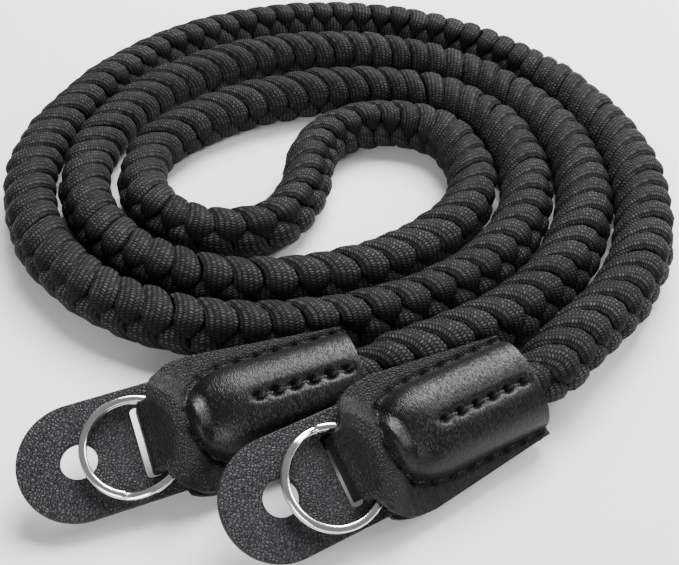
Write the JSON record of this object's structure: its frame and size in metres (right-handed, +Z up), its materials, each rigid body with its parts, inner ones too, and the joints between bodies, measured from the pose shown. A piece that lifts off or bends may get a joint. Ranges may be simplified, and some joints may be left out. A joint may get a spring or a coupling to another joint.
{
  "type": "camera strap",
  "caption": "Round woven paracord neck strap for a camera, laid in a flat spiral, with moulded leather ends, split rings and protector flaps.",
  "frame": {"origin": "on the ground, under the middle of the laid strap's box", "axes": "+Z up from the surface that the strap lies on, +Y from its leather ends to the far side of its coils"},
  "size_m": [0.1322, 0.1662, 0.0138],
  "materials": {
    "rope": "matt woven nylon",
    "leather": "semi-gloss grained leather",
    "ring": "bright polished steel"
  },
  "bodies": {
    "root": {"paracord_rope": "rope", "left_leather_end": "leather", "right_leather_end": "leather", "left_protector_flap": "leather", "right_protector_flap": "leather", "left_split_ring": "ring", "right_split_ring": "ring"}
  },
  "joints": []
}
